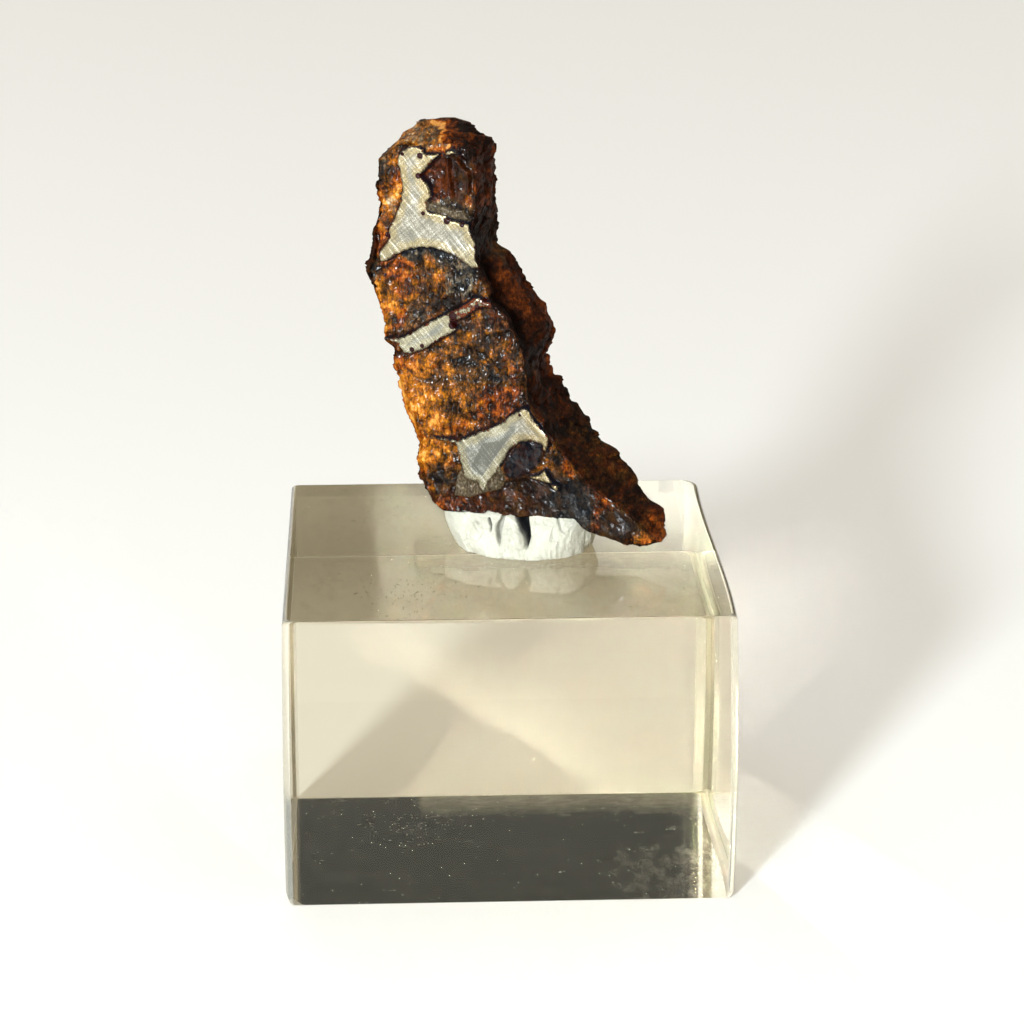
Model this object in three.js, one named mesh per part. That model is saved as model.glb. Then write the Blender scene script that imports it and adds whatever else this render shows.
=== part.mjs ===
// A rusty fragment of a pallasite slice, held upright by a pad of white mounting putty on a
// clear acrylic block. Millimetres, +Z up, origin under the middle of the block, cut face to -Y.
import * as THREE from "three";

// Acrylic block
const BLOCK_HEIGHT = 20;
const BLOCK_CORNERS = [[-15.1, -15], [15.1, -15], [15, 15], [-14.6, 15]];
const BLOCK_CORNER_RADII = [0.9, 0.7, 0.5, 1.1];
const BLOCK_FOOT_ROUNDING = 1;
const BLOCK_TOP_ROUNDING = 0.3;

// Specimen: x runs along the cut face, y into the slice, z up from the top of the block
const SPECIMEN_ORIGIN = [-4.94, 0.58, BLOCK_HEIGHT];
const SPECIMEN_TURN = -20 * Math.PI / 180;
const SLICE_LIFT = 0.9;
const SLICE_BOTTOM = 1;
const SLICE_TOP = 28.4;
const SLICE_LEVELS = 54;
const SLICE_COLUMNS = [30, 12, 14, 8];
const BACK_FACE_DEPTH = 6.2;
const BACK_CORNER_INSET = 0.5;
const OLIVINE_RECESS = 0.45;

// Putty
const PUTTY_CENTRE = [5.9, 2.7];
const PUTTY_FOOT = [4.7, 4];
const PUTTY_RIM = [5.05, 2.85];
const PUTTY_RIM_SHIFT = [-0.4, 0.45];
const PUTTY_GAP = 0.4;

// Outlines of the slice: x, z of the left edge and of the ridge beside the cut face
const LEFT_EDGE = [
  [0.9, 1.7], [0, 2.7], [-0.7, 3.8], [-1.05, 5], [-0.9, 6.6], [-1.4, 8.1], [-2.1, 10.1],
  [-2.7, 11.9], [-2.8, 12.8], [-3.35, 13.5], [-3.5, 15], [-4.1, 17.1], [-4.5, 18.2],
  [-4, 19.1], [-4, 21], [-3.5, 23.1], [-3.8, 24.8], [-3.6, 26.2], [-3, 28.4],
];
const RIDGE = [
  [16.5, 1], [15.2, 1.9], [13.2, 3.4], [10.9, 4.7], [8.7, 7.5], [7.3, 9.4], [7.1, 11.8],
  [6.6, 13.8], [5.4, 15.8], [4.3, 16.9], [3.9, 18.1], [3.5, 19.7], [3.2, 21.3], [3.6, 23.6],
  [3.4, 25.7], [3.1, 27.1], [2.6, 28.4],
];

// The far edge of the broken right side: x, z and its depth behind the cut face
const FAR_EDGE = [
  [16.3, 1, 1.6], [15.8, 2.6, 2.8], [14.5, 3, 3.4], [12.9, 4.8, 4.6], [11.9, 5.7, 5.2],
  [10.5, 6.1, 5.8], [9, 7.8, 6.4], [7.4, 10.1, 6.5], [6.6, 10.4, 6.5], [6.2, 11.9, 6.5],
  [6.7, 13.2, 6.5], [6.6, 14, 6.5], [5.4, 16.3, 6.5], [4.7, 16.9, 6.4], [3.9, 18.8, 6.2],
  [2.8, 19.4, 6], [2.9, 21, 5.9], [2.8, 22.5, 5.8], [3, 25, 5.6], [2.7, 27.2, 5.4], [2.2, 28.4, 5.4],
];

// Underside and crown, as z over x along the cut face
const UNDERSIDE = [
  [0.9, 1.7], [6.2, 1.65], [7.6, 1.85], [10.2, 1.9], [11.2, 1.05], [12.3, 0.9], [14.5, 0.4], [16.6, 1.1],
];
const CROWN = [[-3.9, 25.5], [-3.4, 26], [-2.1, 26.8], [-0.7, 27.25], [1.8, 27.5], [3.2, 27], [3.6, 26.4]];
const CROWN_RISE = 0.12;
const CROWN_FALL = 0.05;

// Metal standing level with the cut plane: the upper body, the bar and the lower body
const METAL = [
  [
    [-2.1, 26.4], [-0.9, 27.1], [0.8, 26.7], [-0.7, 25.1], [0.2, 23.8], [0.1, 22.6], [2.9, 21.8],
    [3.4, 19.2], [1, 20.1], [-1, 20.2], [-3.3, 19], [-3.1, 20.2], [-2, 22.9], [-1.9, 24.9],
  ],
  [[-2.6, 13.6], [0.8, 15.4], [3.4, 16.9], [4.2, 16.5], [1.6, 14.5], [-0.6, 12.9], [-1.8, 12.7]],
  [
    [1.9, 6.7], [5.1, 8.3], [6.9, 9.5], [8.5, 7.5], [8.3, 6.6], [7.5, 7.3], [6, 6.8], [3.8, 3.5],
    [2.5, 4.4],
  ],
];

// Piecewise linear value, at t, of rows that hold t in one column and the value in another.
function along(rows, t, key, value) {
  const after = rows.findIndex((row) => row[key] >= t);
  if (after === 0) {
    return rows[0][value];
  }
  if (after < 0) {
    return rows.at(-1)[value];
  }
  const a = rows[after - 1];
  const b = rows[after];
  return THREE.MathUtils.mapLinear(t, a[key], b[key], a[value], b[value]);
}

// Repeatable random number between 0 and 1 for a cell of a cubic lattice.
function cellRandom(i, j, k, seed) {
  const value = Math.sin(i * 127.1 + j * 311.7 + k * 74.7 + seed * 53.3) * 43758.5453;
  return value - Math.floor(value);
}

// Smooth lumps, -1 to 1, about the given size apart.
function lumps(x, y, z, size, seed) {
  const cell = [x, y, z].map((value) => Math.floor(value / size));
  const ease = [x, y, z].map((value, axis) => {
    const t = value / size - cell[axis];
    return t * t * (3 - 2 * t);
  });
  let sum = 0;
  for (const [i, j, k] of CUBE_CORNERS) {
    const weight = Math.abs(1 - i - ease[0]) * Math.abs(1 - j - ease[1]) * Math.abs(1 - k - ease[2]);
    sum += weight * cellRandom(cell[0] + i, cell[1] + j, cell[2] + k, seed);
  }
  return sum * 2 - 1;
}
const CUBE_CORNERS = [0, 1].flatMap((i) => [0, 1].flatMap((j) => [0, 1].map((k) => [i, j, k])));

// Distance from a point to a closed outline, negative inside.
function outlineDistance(outline, x, z) {
  let nearest = Infinity;
  let inside = false;
  outline.forEach(([bx, bz], i) => {
    const [ax, az] = outline.at(i - 1);
    const run = THREE.MathUtils.clamp(
      ((x - ax) * (bx - ax) + (z - az) * (bz - az)) / ((bx - ax) ** 2 + (bz - az) ** 2), 0, 1);
    nearest = Math.min(nearest, Math.hypot(x - ax - run * (bx - ax), z - az - run * (bz - az)));
    if (az > z !== bz > z && x < ax + (z - az) / (bz - az) * (bx - ax)) {
      inside = !inside;
    }
  });
  return inside ? -nearest : nearest;
}

// A closed body from rings of points, anticlockwise from above and stacked from bottom to top.
function stackedRings(rings) {
  const around = rings[0].length;
  const poles = [rings[0], rings.at(-1)].map((ring) => (
    ring.reduce((sum, point) => sum.add(point), new THREE.Vector3()).divideScalar(around)));
  const bottomPole = rings.length * around;
  const topRing = bottomPole - around;
  const index = [];
  for (let i = 0; i < around; i++) {
    const next = (i + 1) % around;
    index.push(bottomPole, next, i, bottomPole + 1, topRing + i, topRing + next);
    for (let row = 0; row < topRing; row += around) {
      index.push(row + i, row + next, row + around + next);
      index.push(row + i, row + around + next, row + around + i);
    }
  }
  const geometry = new THREE.BufferGeometry().setFromPoints([...rings.flat(), ...poles]);
  geometry.setIndex(index);
  geometry.computeVertexNormals();
  return geometry;
}

// Block: one plan with round corners, drawn in a little at the foot and at the top.
function blockRing(z, inset) {
  return BLOCK_CORNERS.flatMap(([x, y], i) => {
    const radius = BLOCK_CORNER_RADII[i];
    const centre = [x - Math.sign(x) * radius, y - Math.sign(y) * radius];
    return [0, 30, 60, 90].map((step) => {
      const angle = THREE.MathUtils.degToRad(180 + 90 * i + step);
      const reach = Math.max(radius - inset, 0.05);
      const shrink = Math.min(radius - inset - 0.05, 0);
      return new THREE.Vector3(
        centre[0] + Math.sign(x) * shrink + reach * Math.cos(angle),
        centre[1] + Math.sign(y) * shrink + reach * Math.sin(angle),
        z);
    });
  });
}
const quarterSteps = [0, 0.25, 0.5, 0.75, 1].map((part) => part * Math.PI / 2);
const blockRings = [
  ...quarterSteps.map((a) => blockRing(
    BLOCK_FOOT_ROUNDING * (1 - Math.cos(a)), BLOCK_FOOT_ROUNDING * (1 - Math.sin(a)))),
  ...quarterSteps.map((a) => blockRing(
    BLOCK_HEIGHT - BLOCK_TOP_ROUNDING * (1 - Math.sin(a)), BLOCK_TOP_ROUNDING * (1 - Math.cos(a)))),
];

// Slice: sections with four corners (left edge, ridge, far edge, back corner) from tail to crown.
// Height of a level over x and y: the lowest follows the underside and the highest the crown.
function levelHeight(level, x, y) {
  const low = THREE.MathUtils.clamp(1 - (level - SLICE_BOTTOM) / 5, 0, 1) ** 2;
  const high = THREE.MathUtils.clamp((level - 20) / (SLICE_TOP - 20), 0, 1) ** 2;
  const crown = along(CROWN, x, 0, 1) + y * (CROWN_RISE - CROWN_FALL * Math.max(x, 0, -1.5 - x));
  return level + low * (along(UNDERSIDE, x, 0, 1) - SLICE_BOTTOM) + high * (crown - SLICE_TOP);
}

// A corner of the section at a level, found on its outline and pushed in and out by small lumps.
function sectionCorner(level, outline, depth, inset, outward, seed) {
  let x = 0;
  let y = depth;
  let z = level;
  for (let pass = 0; pass < 4; pass++) {
    x = along(outline, z, 1, 0) + inset;
    y = outline[0].length === 3 ? along(outline, z, 1, 2) : depth;
    z = levelHeight(level, x, y);
  }
  return [x + outward * (0.16 * lumps(x, y, z, 1.7, seed) + 0.08 * lumps(x, y, z, 0.8, seed)), y];
}

// How far the cut face lies behind its plane: nothing on metal, rough pits in the olivine.
function faceRecess(x, z, seed) {
  const distance = Math.min(...METAL.map((outline) => outlineDistance(outline, x, z)));
  const away = THREE.MathUtils.smoothstep(distance, 0, 0.5);
  const rough = 0.65 + 0.35 * lumps(x, 0, z, 1.3, seed);
  const pit = 0.5 * Math.exp(-(((x - 1.6) / 1.5) ** 2) - ((z - 24.8) / 1.6) ** 2);
  return away * (OLIVINE_RECESS * rough + pit);
}

// Position along one side of the section, with the relief of that side; u runs from 0 to 1.
function sidePoint(corners, side, u, level) {
  const [ax, ay] = corners[side];
  const [bx, by] = corners[(side + 1) % 4];
  const x = ax + (bx - ax) * u;
  const y = ay + (by - ay) * u;
  const z = levelHeight(level, x, y);
  if (side === 0) {
    return new THREE.Vector3(x, y + faceRecess(x, z, 3), z);
  }
  if (side === 2) {
    return new THREE.Vector3(x, y - faceRecess(x - 1, z - 1.5, 7), z);
  }
  const fade = Math.min(1, 5 * u, 5 * (1 - u));
  let out = fade * (0.3 * lumps(x, y, z, 2.1, 11) + 0.16 * lumps(x, y, z, 1, 12));
  if (side === 1) {
    const height = THREE.MathUtils.smoothstep(z, 13, 15) * (1 - THREE.MathUtils.smoothstep(z, 18.5, 20.5));
    out += height * (0.45 * Math.exp(-(((u - 0.6) / 0.2) ** 2)) - 0.8 * Math.exp(-(((u - 0.25) / 0.1) ** 2)));
  }
  const length = Math.hypot(bx - ax, by - ay);
  return new THREE.Vector3(x + out * (by - ay) / length, y - out * (bx - ax) / length, z);
}

// One ring of the slice; the edges away from the cut face are worn round.
function sliceRing(level) {
  const corners = [
    sectionCorner(level, LEFT_EDGE, 0, 0, -1, 21),
    sectionCorner(level, RIDGE, 0, 0, 1, 22),
    sectionCorner(level, FAR_EDGE, 0, 0.2, 1, 23),
    sectionCorner(level, LEFT_EDGE, BACK_FACE_DEPTH, BACK_CORNER_INSET, -1, 24),
  ];
  const at = (v) => sidePoint(corners, Math.floor(v + 4) % 4, v - Math.floor(v), level);
  return SLICE_COLUMNS.flatMap((count, side) => Array.from({ length: count }, (_, i) => {
    const v = side + i / count;
    const reach = v > 1.5 && v < 3.5 ? 0.08 : 0.02;
    return at(v).multiplyScalar(2).add(at(v - reach)).add(at(v + reach)).divideScalar(4);
  }));
}

// A ring drawn in towards its middle, its height set again by the given surface.
function closingRing(ring, share, height) {
  const middle = ring.reduce((sum, point) => sum.add(point), new THREE.Vector3()).divideScalar(ring.length);
  return ring.map((point) => {
    const drawn = point.clone().lerp(middle, share);
    drawn.z = height(drawn.x, drawn.y) + (point.z - height(point.x, point.y)) * (1 - share);
    return drawn;
  });
}

const sliceRings = Array.from({ length: SLICE_LEVELS }, (_, i) => (
  sliceRing(SLICE_BOTTOM + (SLICE_TOP - SLICE_BOTTOM) * i / (SLICE_LEVELS - 1))));
const undersideHeight = (x, y) => levelHeight(SLICE_BOTTOM, x, y) + 0.15 * lumps(x, y, 0, 1.4, 31);
const crownHeight = (x, y) => levelHeight(SLICE_TOP, x, y) + 0.15 * lumps(x, y, 0, 1.4, 32);
const sliceSurface = [
  ...[0.75, 0.5, 0.25].map((share) => closingRing(sliceRings[0], share, undersideHeight)),
  ...sliceRings,
  ...[0.25, 0.5, 0.75].map((share) => closingRing(sliceRings.at(-1), share, crownHeight)),
];

// Putty: a pressed blob on an oval foot that turns into an oval rim, soon in width and late in
// depth, with a fold and one deep slit in its front.
function puttyPoint(angle, rise) {
  const across = Math.cos(angle);
  const inward = Math.sin(angle);
  const bulge = 0.25 * Math.sin(Math.PI * rise) + 0.1 * lumps(across * 5, inward * 5, rise, 1.3, 41);
  const front = Math.max(-inward, 0);
  const slit = 0.9 * Math.exp(-(((across - 0.22) / 0.05) ** 2)) * Math.sin(Math.PI * Math.min(rise * 1.2, 1));
  const fold = 0.25 * Math.exp(-(((across + 0.13) / 0.06) ** 2)) * rise;
  const out = bulge - front * (slit + fold);
  const soon = 1 - (1 - rise) ** 1.6;
  const late = rise ** 1.5;
  const corner = 1 + 0.16 * late * Math.sin(2 * angle) ** 2;
  const halfWidth = corner * THREE.MathUtils.lerp(PUTTY_FOOT[0], PUTTY_RIM[0], soon) + out;
  const halfDepth = corner * THREE.MathUtils.lerp(PUTTY_FOOT[1], PUTTY_RIM[1], late) + out;
  const x = PUTTY_CENTRE[0] + PUTTY_RIM_SHIFT[0] * soon + across * halfWidth;
  const y = PUTTY_CENTRE[1] + PUTTY_RIM_SHIFT[1] * late + inward * halfDepth;
  return new THREE.Vector3(x, y, rise * puttyTop(x, y));
}

// The putty ends just below the underside of the slice.
function puttyTop(x, y) {
  return undersideHeight(x, y) + SLICE_LIFT - PUTTY_GAP;
}

const puttyRings = Array.from({ length: 8 }, (_, row) => (
  Array.from({ length: 64 }, (_, i) => puttyPoint(i / 64 * Math.PI * 2, row / 7))));
const puttySurface = [
  ...puttyRings,
  ...[0.3, 0.6].map((share) => closingRing(puttyRings.at(-1), share, puttyTop)),
];

function solid(name, geometry, color, roughness, metalness) {
  const mesh = new THREE.Mesh(geometry, new THREE.MeshStandardMaterial({ color, roughness, metalness }));
  mesh.name = name;
  return mesh;
}

const block = solid("acrylic_block", stackedRings(blockRings), "#dad0b8", 0.05, 0);
block.material.transparent = true;
block.material.opacity = 0.35;

const slice = solid("meteorite_slice", stackedRings(sliceSurface), "#5a3012", 0.45, 0);
slice.position.z = SLICE_LIFT;

const putty = solid("putty_pad", stackedRings(puttySurface), "#e6e1d8", 0.85, 0);

const specimen = new THREE.Group();
specimen.position.set(...SPECIMEN_ORIGIN);
specimen.rotation.z = SPECIMEN_TURN;
specimen.add(slice, putty);

const part = new THREE.Group();
part.add(block, specimen);

export default part;
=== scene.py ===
from math import cos, radians, sin

import bpy
import numpy as np
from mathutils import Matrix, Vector


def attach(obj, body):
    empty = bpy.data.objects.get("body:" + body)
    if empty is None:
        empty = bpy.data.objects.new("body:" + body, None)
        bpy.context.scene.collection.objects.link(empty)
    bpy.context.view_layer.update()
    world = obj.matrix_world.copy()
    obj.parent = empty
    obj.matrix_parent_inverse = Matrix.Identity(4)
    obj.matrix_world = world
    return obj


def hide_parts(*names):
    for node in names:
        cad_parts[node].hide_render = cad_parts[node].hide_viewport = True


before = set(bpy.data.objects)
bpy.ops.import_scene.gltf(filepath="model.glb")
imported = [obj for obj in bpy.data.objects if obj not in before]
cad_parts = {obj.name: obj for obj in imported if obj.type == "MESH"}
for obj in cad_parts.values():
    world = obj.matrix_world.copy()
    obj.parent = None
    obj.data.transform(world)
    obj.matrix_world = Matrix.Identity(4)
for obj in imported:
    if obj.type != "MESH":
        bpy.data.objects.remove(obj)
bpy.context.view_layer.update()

scene = bpy.context.scene


def placed(name, data):
    """A new object that stands in the scene."""
    thing = bpy.data.objects.new(name, data)
    scene.collection.objects.link(thing)
    return thing


class Wire:
    """One socket of a material. Arithmetic on it adds the Math nodes that it stands for."""

    def __init__(self, finish, socket):
        self.finish = finish
        self.socket = socket

    def math(self, operation, *values):
        return self.finish.node("ShaderNodeMath", {"operation": operation}, dict(enumerate(values)))

    def __add__(self, other):
        return self.math("ADD", self, other)

    def __sub__(self, other):
        return self.math("SUBTRACT", self, other)

    def __rsub__(self, other):
        return self.math("SUBTRACT", other, self)

    def __mul__(self, other):
        return self.math("MULTIPLY", self, other)

    __radd__ = __add__
    __rmul__ = __mul__

    def __abs__(self):
        return self.math("ABSOLUTE", self)

    def above(self, other):
        """The larger of the two."""
        return self.math("MAXIMUM", self, other)

    def rise(self, low, high):
        """0 below low, 1 above high, smooth between them; low may be the larger number."""
        return self.finish.node(
            "ShaderNodeMapRange", {"interpolation_type": "SMOOTHSTEP"},
            {"Value": self, "From Min": low, "From Max": high})

    def stretched(self, x, y, z):
        """The same vector, with each axis multiplied by its own number."""
        return self.finish.node("ShaderNodeVectorMath", {"operation": "MULTIPLY"}, {0: self, 1: (x, y, z)})


class Finish:
    """A material under construction."""

    def __init__(self, material):
        self.material = material
        self.material.use_nodes = True
        self.tree = self.material.node_tree
        self.tree.nodes.clear()

    def node(self, kind, settings=None, inputs=None, output=0):
        """Adds a node: its settings first, then the values or links of its input sockets."""
        node = self.tree.nodes.new(kind)
        for name, value in (settings or {}).items():
            if name == "stops":
                for stop, (place, colour) in zip([*node.color_ramp.elements] + [None] * len(value), value):
                    stop = stop or node.color_ramp.elements.new(place)
                    stop.position = place
                    stop.color = (*colour, 1.0)
            else:
                setattr(node, name, value)
        for name, value in (inputs or {}).items():
            if isinstance(value, Wire):
                self.tree.links.new(value.socket, node.inputs[name])
            else:
                node.inputs[name].default_value = value
        return Wire(self, node.outputs[output]) if node.outputs else None

    def attribute(self, name, output="Fac"):
        return self.node("ShaderNodeAttribute", {"attribute_name": name}, output=output)

    def parts(self, vector):
        """The three numbers of a vector."""
        split = self.node("ShaderNodeSeparateXYZ", {}, {0: vector})
        return [Wire(self, socket) for socket in split.socket.node.outputs]

    def place(self):
        return self.node("ShaderNodeTexCoord", output="Object")

    def noise(self, where, scale, detail=4.0, roughness=0.6, warp=0.0):
        return self.node("ShaderNodeTexNoise", {}, {
            "Vector": where, "Scale": scale, "Detail": detail, "Roughness": roughness, "Distortion": warp})

    def distance(self, where, point):
        return self.node("ShaderNodeVectorMath", {"operation": "DISTANCE"}, {0: where, 1: point}, "Value")

    def cells(self, where, scale, feature="F1", output="Distance"):
        return self.node("ShaderNodeTexVoronoi", {"feature": feature}, {"Vector": where, "Scale": scale},
                         output)

    def ramp(self, value, stops):
        return self.node("ShaderNodeValToRGB", {"stops": stops}, {"Fac": value})

    def mix(self, share, first, second):
        """first where share is 0, second where it is 1; both are colours."""
        return self.node("ShaderNodeMix", {"data_type": "RGBA"}, {0: share, 6: first, 7: second}, 2)

    def bump(self, height):
        """Relief from heights in millimetres."""
        return self.node("ShaderNodeBump", {}, {"Height": height, "Distance": 0.001, "Strength": 1.0})

    def surface(self, **inputs):
        """Ends the material in a Principled surface."""
        shader = self.node("ShaderNodeBsdfPrincipled", {}, {
            name.replace("_", " "): value for name, value in inputs.items()})
        self.node("ShaderNodeOutputMaterial", {}, {"Surface": shader})
        return self.material


# The room: a wide pale table top, a small bright lamp low on the left in front, a broad soft
# box overhead and a dark doorway behind, which shows in the underside of the clear block.
# The table top lies a hair below the block, so that the two faces stay apart.
TABLE_HALF_WIDTH = 3.0
TABLE_GAP = 0.00005
TABLE_COLOUR = (0.96, 0.95, 0.925, 1.0)

table_mesh = bpy.data.meshes.new("table_top")
table_corners = np.array([(-1, -1), (1, -1), (1, 1), (-1, 1)]) * TABLE_HALF_WIDTH
table_mesh.from_pydata([(x, y, -TABLE_GAP) for x, y in table_corners], [], [(0, 1, 2, 3)])
table_finish = Finish(bpy.data.materials.new("table_top"))
table_mesh.materials.append(table_finish.surface(Base_Color=TABLE_COLOUR, Roughness=0.6))
table = placed("table_top", table_mesh)


def softbox(name, place, aim, width, watts, shape, colour):
    """An area lamp at a place, turned to face a point."""
    light = bpy.data.lights.new(name, "AREA")
    light.shape = shape
    light.size = width
    light.energy = watts
    light.color = colour
    lamp = placed(name, light)
    lamp.location = place
    lamp.rotation_euler = (Vector(aim) - Vector(place)).to_track_quat("-Z", "Y").to_euler()


softbox("lamp", place=(-0.225, -0.537, 0.195), aim=(0.0, 0.0, 0.01), width=0.075, watts=5.2,
        shape="DISK", colour=(0.86, 0.95, 1.0))
softbox("overhead", place=(0.0, 0.3, 1.7), aim=(0.0, 0.3, 0.0), width=3.6, watts=26.5,
        shape="SQUARE", colour=(1.0, 0.96, 0.90))

# The room is light all round, and brightest on the left behind the table, but for a dark doorway
# straight behind it. A bright sill low in the doorway's right half shines on the block's top.
ROOM_LIGHT = (0.36, 0.345, 0.31, 1.0)
WINDOW_LIGHT = (1.5, 1.5, 1.45, 1.0)
DOORWAY_DARK = (0.014, 0.016, 0.009, 1.0)
SILL_LIGHT = (2.9, 3.0, 2.9, 1.0)

scene.world = bpy.data.worlds.new("room")
room = Finish(scene.world)
across, ahead, aloft = room.parts(room.node("ShaderNodeTexCoord"))
behind_table = ahead.rise(0.5, 0.6)
under_lintel = aloft.rise(0.60, 0.52)
doorway = across.rise(-0.10, -0.08) * across.rise(0.42, 0.36) * behind_table * under_lintel
window = across.rise(-0.10, -0.14) * across.rise(-0.55, -0.45) * behind_table * under_lintel
sill = across.rise(0.0, 0.09) * across.rise(0.24, 0.18) * behind_table
sill = sill * aloft.rise(0.24, 0.29) * aloft.rise(0.330, 0.298)
room_colour = room.mix(doorway, room.mix(window, ROOM_LIGHT, WINDOW_LIGHT), DOORWAY_DARK)
room.node("ShaderNodeOutputWorld", {}, {"Surface": room.node("ShaderNodeBackground", {}, {
    "Color": room.mix(sill, room_colour, SILL_LIGHT)})})

# Seen from a little above the block, looking down 18 degrees through a long lens.
CAMERA_PLACE = (-0.01158, -0.27806, 0.11233)
CAMERA_DOWN, CAMERA_RIGHT = 17.88, 2.525
CAMERA_LENS, CAMERA_FILM = 150, 36

camera_data = bpy.data.cameras.new("camera")
camera_data.lens = CAMERA_LENS
camera_data.sensor_width = CAMERA_FILM
camera_data.clip_start = 0.01
camera_data.clip_end = 20
scene.camera = placed("camera", camera_data)
scene.camera.location = CAMERA_PLACE
scene.camera.rotation_euler = (radians(90 - CAMERA_DOWN), 0.0, radians(-CAMERA_RIGHT))
scene.view_settings.view_transform = "Standard"

# Light that passes through the clear block, or bounces inside it, keeps its sharp pattern.
scene.cycles.blur_glossy = 0.0
scene.cycles.sample_clamp_indirect = 0.0
scene.cycles.max_bounces = 24
scene.cycles.glossy_bounces = 16
scene.cycles.transmission_bounces = 24


# The block: clear cast acrylic, sawn and polished, its sides very slightly pillowed by the
# polishing. Its edges are barely broken, but for the front left of the foot, which is worn round.
# It has a faint warm tint.
BLOCK_HEIGHT = 20.0
BLOCK_HALF_WIDTH = 15.0
BLOCK_CORNERS = [(-15.1, -15.0), (15.1, -15.0), (15.0, 15.0), (-14.6, 15.0)]
BLOCK_CORNER_RADII = [0.45, 0.5, 1.05, 0.3]
# Radii of the foot and top edges: at the left in front and further back, at the right, and at front
# and back.
BLOCK_FOOT_ROUNDING = (1.1, 0.2, 0.5, 0.05)
BLOCK_TOP_ROUNDING = (0.35, 0.3, 0.4, 0.2)
BLOCK_WORN_LENGTH = 2.5
# An extra ring this far inside each rounding keeps the walls flat up to it.
BLOCK_WALL_MARGIN = 0.005
BLOCK_WALL_ROWS = 24
BLOCK_BOW_MIDDLE, BLOCK_BOW_REACH = 9.0, 11.0
BLOCK_SIDE_BOW = 0.13
BLOCK_SIDE_BULGE = 0.08
BLOCK_SIDE_WAVE = (-0.134, -0.342, 0.0, 0.327)
ARC_POINTS, STRAIGHT_POINTS = 9, 18

quarter = np.radians(np.linspace(0.0, 90.0, ARC_POINTS))


def block_ring(height, rounding=(0.0, 0.0, 0.0, 0.0), inward=0.0, upward=0.0):
    """The block's plan at a height: arcs for corners and straight runs between them. On a rounded
    edge the plan shrinks and rises by shares of the edge's radius, which differs between the sides
    and the front and back. The left and right sides bow in with the square of the height from their
    middle, and the right one is wavy: a cubic in y."""
    arcs = []
    for turn, (corner, radius) in enumerate(zip(BLOCK_CORNERS, BLOCK_CORNER_RADII)):
        angle = np.pi + turn * np.pi / 2 + quarter
        normal = np.stack((np.cos(angle), np.sin(angle)), -1)
        arcs.append(np.column_stack((corner + radius * (normal - np.sign(corner)), normal)))
    runs = np.concatenate(([0.002], np.linspace(0.0, 1.0, STRAIGHT_POINTS)[1:-1], [0.998]))[:, None]
    straights = [arc[-1] * (1.0 - runs) + following[0] * runs
                 for arc, following in zip(arcs, arcs[1:] + arcs[:1])]
    x, y, normal_x, _ = np.concatenate([part for pair in zip(arcs, straights) for part in pair]).T
    left_front, left_behind, right, front_back = rounding
    worn = (-BLOCK_HALF_WIDTH, BLOCK_WORN_LENGTH - BLOCK_HALF_WIDTH)
    side = np.where(x > 0, right, np.interp(y, worn, (left_front, left_behind)))
    z = height + upward * (front_back + (side - front_back) * normal_x ** 2)
    x = x * (1.0 - inward * side / BLOCK_HALF_WIDTH)
    y = y * (1.0 - inward * front_back / BLOCK_HALF_WIDTH)
    fullness = 1.0 - ((z - BLOCK_BOW_MIDDLE) / BLOCK_BOW_REACH) ** 2
    swell = np.polynomial.polynomial.polyval(y / BLOCK_HALF_WIDTH, BLOCK_SIDE_WAVE)
    swell += BLOCK_SIDE_BULGE * fullness - BLOCK_SIDE_BOW * (1.0 - fullness)
    bow = np.where(x > 0, swell, 0.6 * BLOCK_SIDE_BOW * (1.0 - fullness))
    return np.column_stack((x + bow, y, z))


def closed_rings(name, rings, pole_low, pole_high):
    """A mesh from a stack of rings, one array of rows, columns and x, y, z in millimetres, with a
    fan of triangles to a pole at each end. Rings run anticlockwise seen from above."""
    rows, columns = rings.shape[:2]
    a = np.arange(rows * columns).reshape(rows, columns)[:-1]
    b = np.roll(a, -1, axis=1)
    quads = np.stack((a, b, b + columns, a + columns), -1).reshape(-1, 4)
    first = np.arange(columns)
    last = first + (rows - 1) * columns
    low = np.column_stack((np.full(columns, rows * columns), np.roll(first, -1), first))
    high = np.column_stack((np.full(columns, rows * columns + 1), last, np.roll(last, -1)))
    points = np.vstack((rings.reshape(-1, 3), pole_low, pole_high)) / 1000.0
    mesh = bpy.data.meshes.new(name)
    mesh.from_pydata(points.tolist(), [], quads.tolist() + low.tolist() + high.tolist())
    mesh.shade_smooth()
    return placed(name, mesh)


foot = [block_ring(0.0, BLOCK_FOOT_ROUNDING, 1 - sin(a), 1 - cos(a)) for a in quarter]
above_foot = block_ring(BLOCK_WALL_MARGIN, BLOCK_FOOT_ROUNDING, 0.0, 1.0)
walls = [block_ring(z) for z in np.linspace(1.15, BLOCK_HEIGHT - 0.45, BLOCK_WALL_ROWS)]
below_top = block_ring(BLOCK_HEIGHT - BLOCK_WALL_MARGIN, BLOCK_TOP_ROUNDING, 0.0, -1.0)
top = [block_ring(BLOCK_HEIGHT, BLOCK_TOP_ROUNDING, 1 - cos(a), sin(a) - 1) for a in quarter]
block_rings = np.array([block_ring(0.0, BLOCK_FOOT_ROUNDING, 1.1), *foot, above_foot, *walls, below_top,
                        *top, block_ring(BLOCK_HEIGHT, BLOCK_TOP_ROUNDING, 1.1)])
block = closed_rings("clear_block", block_rings, (0, 0, 0), (0, 0, BLOCK_HEIGHT))


def paint(piece, name, values, kind="FLOAT"):
    """Keeps a number or a vector for every point of the mesh, for the material to read."""
    layer = piece.data.attributes.new(name, kind, "POINT")
    layer.data.foreach_set("value" if kind == "FLOAT" else "vector", np.asarray(values, np.float32).ravel())


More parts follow.
